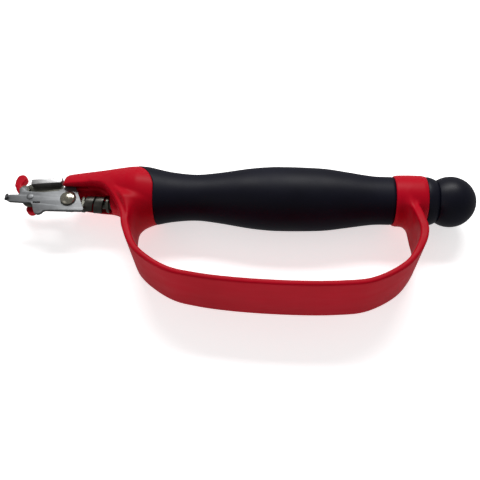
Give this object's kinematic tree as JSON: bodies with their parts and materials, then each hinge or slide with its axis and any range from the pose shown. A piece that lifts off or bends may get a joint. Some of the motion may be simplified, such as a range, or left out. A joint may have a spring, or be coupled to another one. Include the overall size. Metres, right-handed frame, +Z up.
{
  "type": "manual can opener",
  "caption": "Hand can opener: black soft grip closed by a flat red finger guard band, ball end knob, and a sprung steel rotary cutting head with a red turning key.",
  "frame": {"origin": "centre of the bounding box's base: the tool lies on its side on the plane Z = 0, on the grip's belly and the guard band's edge", "axes": "+X along the handle from the cutting head to the ball knob, +Y away from the guard loop, +Z up, square to the plane of the loop"},
  "size_m": [0.2488, 0.0764, 0.034],
  "materials": {
    "red_plastic": "satin moulded",
    "soft_black": "soft touch",
    "black_plastic": "satin",
    "nylon": "natural",
    "steel": "stamped, satin",
    "bright_steel": "polished",
    "brass": "machined"
  },
  "bodies": {
    "frame": {"guard_frame": "red_plastic", "handle_core": "nylon", "grip_sleeve": "soft_black", "tie_rod": "steel", "tie_nut": "steel", "tie_washer": "steel", "end_ferrule": "black_plastic", "ball_knob": "black_plastic", "knob_insert": "brass", "head_plate": "steel", "plate_screws": "steel", "pivot_bolt": "bright_steel", "pivot_bush": "brass", "pivot_washer": "steel", "pivot_nut": "steel", "cutter_stud": "bright_steel", "spring_seat": "steel", "jaw_spring": "steel"},
    "jaw": {"jaw_arm": "steel", "axle_bush": "brass"},
    "feed": {"feed_wheel": "steel", "feed_axle": "steel", "thrust_washer": "brass", "turning_key": "red_plastic", "key_rivet": "bright_steel"},
    "cutter": {"cutter_wheel": "bright_steel"},
    "plunger": {"spring_plunger": "brass"}
  },
  "joints": [
    {"name": "jaw_pivot", "type": "hinge", "parent": "frame", "child": "jaw", "pos_m": [-0.0892, 0.0165, 0.016], "axis": [0, 0, -1], "range_deg": [0, 6], "stiffness_Nm_per_rad": 0.5, "springref_deg": -5.73, "deforming": ["jaw_spring"]},
    {"name": "key_turn", "type": "hinge", "parent": "jaw", "child": "feed", "pos_m": [-0.116, 0.0242, 0.0125], "axis": [0, 0, 1], "continuous": true},
    {"name": "cutter_spin", "type": "hinge", "parent": "frame", "child": "cutter", "pos_m": [-0.1101, 0.0174, 0.0187], "axis": [0, 0, 1], "continuous": true},
    {"name": "plunger_slide", "type": "slide", "parent": "frame", "child": "plunger", "axis": [1, 0, 0], "range_m": [0, 0.001]}
  ],
  "couplings": [
    {"joint": "plunger_slide", "follows": "jaw_pivot", "m_per_rad": 0.0086}
  ]
}
